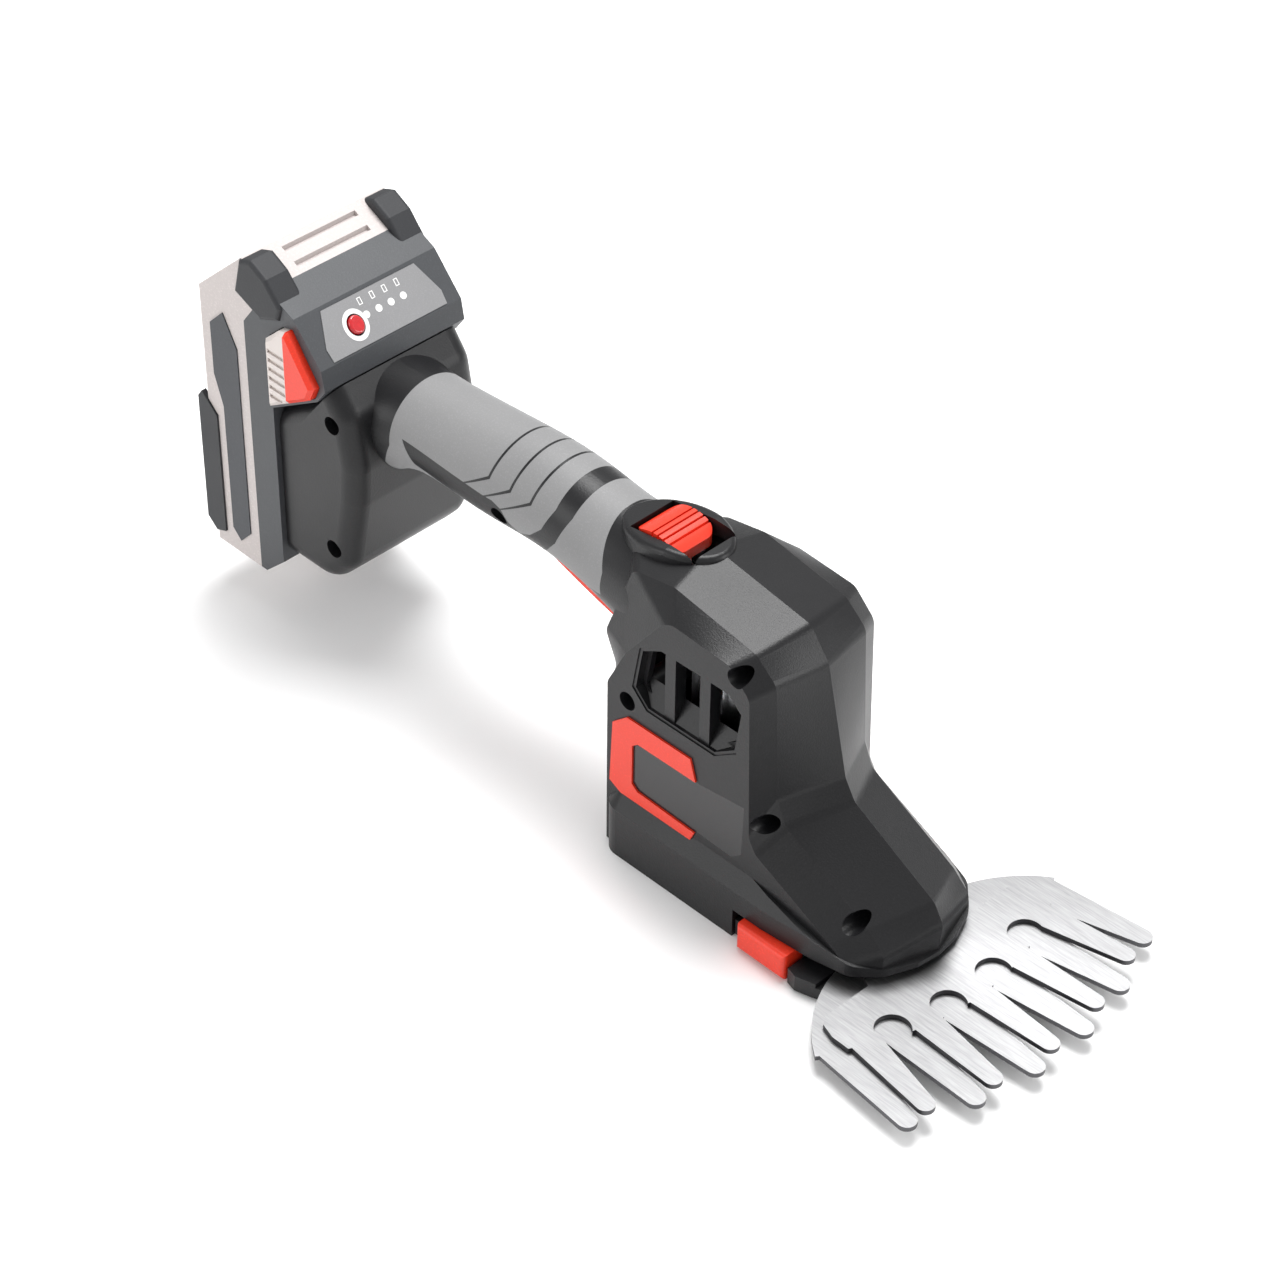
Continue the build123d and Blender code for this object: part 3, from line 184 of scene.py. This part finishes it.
# ---------------------------------------------------------------- blades
# Two stamped and ground spring-steel combs, brushed across the teeth. The lower
# comb is screwed to the cassette tray, and the upper one turns on the pivot bolt.
def brushed(name, colour, roughness, grain=(40.0, 2500.0, 400.0), contrast=0.18):
    """Brushed or ground metal: long thin streaks in colour, gloss and relief."""
    material = bpy.data.materials.new(name)
    material.use_nodes = True
    tree = material.node_tree
    shader = tree.nodes["Principled BSDF"]
    shader.inputs["Metallic"].default_value = 1.0
    shader.inputs["Anisotropic"].default_value = 0.4
    place = tree.nodes.new("ShaderNodeTexCoord")
    stretch = tree.nodes.new("ShaderNodeMapping")
    stretch.inputs["Scale"].default_value = grain
    streaks = tree.nodes.new("ShaderNodeTexNoise")
    streaks.inputs["Scale"].default_value = 1.0
    streaks.inputs["Detail"].default_value = 5.0
    cloud = tree.nodes.new("ShaderNodeTexNoise")
    cloud.inputs["Scale"].default_value = 60.0
    cloud.inputs["Detail"].default_value = 5.0
    shade = tree.nodes.new("ShaderNodeMix")
    shade.data_type = "RGBA"
    shade.inputs["A"].default_value = (*[channel * (1 - contrast) for channel in colour], 1)
    shade.inputs["B"].default_value = (*[min(1, channel * (1 + contrast)) for channel in colour], 1)
    gloss = tree.nodes.new("ShaderNodeMapRange")
    gloss.inputs["To Min"].default_value = roughness - 0.08
    gloss.inputs["To Max"].default_value = roughness + 0.08
    bump = tree.nodes.new("ShaderNodeBump")
    bump.inputs["Strength"].default_value = 0.25
    bump.inputs["Distance"].default_value = 0.00003
    link = tree.links.new
    link(place.outputs["Object"], stretch.inputs["Vector"])
    link(stretch.outputs["Vector"], streaks.inputs["Vector"])
    link(place.outputs["Object"], cloud.inputs["Vector"])
    link(streaks.outputs["Fac"], shade.inputs["Factor"])
    link(shade.outputs["Result"], shader.inputs["Base Color"])
    link(cloud.outputs["Fac"], gloss.inputs["Value"])
    link(gloss.outputs["Result"], shader.inputs["Roughness"])
    link(streaks.outputs["Fac"], bump.inputs["Height"])
    link(bump.outputs["Normal"], shader.inputs["Normal"])
    return material


def shade_upright_edges(material, edge_shade_colour):
    """Paint shade on the upright edges of a flat sheet: faces that stand on edge get a darker
    colour than its flat ground faces.
    """
    tree = material.node_tree
    shader = tree.nodes["Principled BSDF"]
    face = tree.nodes.new("ShaderNodeNewGeometry")
    parts = tree.nodes.new("ShaderNodeSeparateXYZ")
    upright = tree.nodes.new("ShaderNodeMath")
    upright.operation = "ABSOLUTE"
    share = tree.nodes.new("ShaderNodeMapRange")
    share.inputs["From Min"].default_value = 0.5
    share.inputs["From Max"].default_value = 0.9
    paint = tree.nodes.new("ShaderNodeMix")
    paint.data_type = "RGBA"
    # painted shade: faces standing on edge take this dark colour, the flat faces keep their own
    paint.inputs["A"].default_value = (*edge_shade_colour, 1)
    ground = shader.inputs["Base Color"].links[0].from_socket
    link = tree.links.new
    link(face.outputs["Normal"], parts.inputs["Vector"])
    link(parts.outputs["Z"], upright.inputs[0])
    link(upright.outputs["Value"], share.inputs["Value"])
    link(share.outputs["Result"], paint.inputs["Factor"])
    link(ground, paint.inputs["B"])
    link(paint.outputs["Result"], shader.inputs["Base Color"])


blade_steel = brushed("blade_steel", (0.36, 0.36, 0.365), roughness=0.44,
                      grain=(120.0, 1800.0, 400.0), contrast=0.34)
# painted shade: the upright edges of both blades are coloured dark grey to stand in for the shade
# on them
shade_upright_edges(blade_steel, (0.10, 0.10, 0.105))
finish_nodes(blade_steel, ["lower_blade", "upper_blade"])
soften(["lower_blade", "upper_blade"], width=0.00025)

# ---------------------------------------------------------------- fasteners, gears and shafts
# Zinc-plated screws, pins, shafts and springs, and sintered steel for the pinion,
# the crank gear and the fork. The idler and the crank turn on fixed shafts. The
# idler wheel and the fan are natural nylon, which runs quietly.
plated_steel = brushed("plated_steel", (0.36, 0.36, 0.37), roughness=0.35,
                       grain=(900.0, 900.0, 900.0))
finish_nodes(plated_steel, ["housing_screws", "idler_shaft", "crank_shaft", "trigger_pin",
                            "trigger_spring"])
finish_nodes(plated_steel, ["lock_spring", "pivot_bolt", "blade_screws", "rotor_shaft"])
gear_steel = brushed("gear_steel", (0.42, 0.42, 0.43), roughness=0.45, grain=(500.0, 500.0, 1500.0))
finish_nodes(gear_steel, ["drive_fork", "motor_pinion", "crank_gear"])
nylon = moulded("natural_nylon", (0.62, 0.60, 0.54), roughness=0.45,
                grain_size=0.0008, grain_depth=0.00004)
finish_nodes(nylon, ["idler_gear", "cooling_fan"])

# ---------------------------------------------------------------- motor
# A can motor stood upright on its plate: zinc-plated can, ferrite magnets
# inside it, a wound copper armature on the shaft, and bronze bushes at both ends.
# The terminals are the same copper, and the boards carry a green solder mask.
can_steel = brushed("can_steel", (0.60, 0.61, 0.63), roughness=0.35, grain=(300.0, 300.0, 2500.0))
finish_nodes(can_steel, ["motor_can", "motor_plate"])
bronze = brushed("bush_bronze", (0.55, 0.36, 0.17), roughness=0.4, grain=(800.0, 800.0, 800.0))
finish_nodes(bronze, ["motor_bushes"])
copper = brushed("copper", (0.70, 0.33, 0.18), roughness=0.35, grain=(700.0, 700.0, 4000.0))
finish_nodes(copper, ["armature", "tool_terminals", "battery_contacts"])
ferrite = moulded("ferrite", (0.05, 0.05, 0.055), roughness=0.7,
                  grain_size=0.0006, grain_depth=0.0001)
finish_nodes(ferrite, ["motor_magnets"])
solder_mask = moulded("solder_mask", (0.02, 0.12, 0.06), roughness=0.35,
                      grain_size=0.0015, grain_depth=0.00003)
finish_nodes(solder_mask, ["control_board", "battery_board"])

# ---------------------------------------------------------------- battery
# A light rear shell and a slate front case, joined round five cells.
# Rubber ears and bumpers sit in pockets at the corners, and the gauge panel is
# let into the slope at the front.
battery_light = moulded("battery_light", (0.50, 0.455, 0.442), roughness=0.5,
                        grain_size=0.0007, grain_depth=0.00006, mottle=0.02)
finish_nodes(battery_light, ["battery_rear_shell"])
battery_slate = moulded("battery_slate", (0.050, 0.053, 0.058), roughness=0.45,
                        grain_size=0.0006, grain_depth=0.0001, shine=0.4)
finish_nodes(battery_slate, ["battery_front_case", "cell_holder"])
soften(["battery_front_case", "battery_rear_shell"], width=0.0008)
panel_slate = moulded("panel_slate", (0.045, 0.048, 0.055), roughness=0.5,
                      grain_size=0.0006, grain_depth=0.00005, shine=0.4)
finish_nodes(panel_slate, ["battery_side_panels"])
bumper_rubber = moulded("bumper_rubber", (0.022, 0.023, 0.026), roughness=0.55,
                        grain_size=0.0006, grain_depth=0.0001, shine=0.4)
finish_nodes(bumper_rubber, ["right_battery_ear", "left_battery_ear", "battery_bumpers"])
gauge_grey = moulded("gauge_grey", (0.22, 0.22, 0.225), roughness=0.5,
                     grain_size=0.0004, grain_depth=0.00003)
finish_nodes(gauge_grey, ["gauge_panel"])
light_pipe = moulded("light_pipe", (0.78, 0.78, 0.77), roughness=0.4,
                     grain_size=0.0008, grain_depth=0.00002)
finish_nodes(light_pipe, ["gauge_lights", "gauge_marks"])


def two_tone(name, front_colour, rear_colour, part_line):
    """One moulding in two colours that meet on an upright plane across X."""
    material = moulded(name, front_colour, roughness=0.4,
                       grain_size=0.0007, grain_depth=0.00006, mottle=0.03)
    tree = material.node_tree
    shader = tree.nodes["Principled BSDF"]
    place = tree.nodes.new("ShaderNodeTexCoord")
    parts = tree.nodes.new("ShaderNodeSeparateXYZ")
    behind = tree.nodes.new("ShaderNodeMath")
    behind.operation = "LESS_THAN"
    behind.inputs[1].default_value = part_line
    paint = tree.nodes.new("ShaderNodeMix")
    paint.data_type = "RGBA"
    paint.inputs["B"].default_value = (*rear_colour, 1)
    front = shader.inputs["Base Color"].links[0].from_socket
    link = tree.links.new
    link(place.outputs["Object"], parts.inputs["Vector"])
    link(parts.outputs["X"], behind.inputs[0])
    link(behind.outputs["Value"], paint.inputs["Factor"])
    link(front, paint.inputs["A"])
    link(paint.outputs["Result"], shader.inputs["Base Color"])
    return material


release_rear_colour = (0.62, 0.56, 0.53)
release_part_line = -0.1888
release_colours = two_tone("release_colours", orange_colour, release_rear_colour, release_part_line)
finish_nodes(release_colours, ["right_release_button", "left_release_button"])
red_button = moulded("red_button", (0.48, 0.01, 0.015), roughness=0.18,
                     grain_size=0.0012, grain_depth=0.00002, coat=0.6)
finish_nodes(red_button, ["gauge_button"])
cell_wrap = moulded("cell_wrap", (0.06, 0.20, 0.42), roughness=0.3,
                    grain_size=0.002, grain_depth=0.00002)
finish_nodes(cell_wrap, ["battery_cells"])
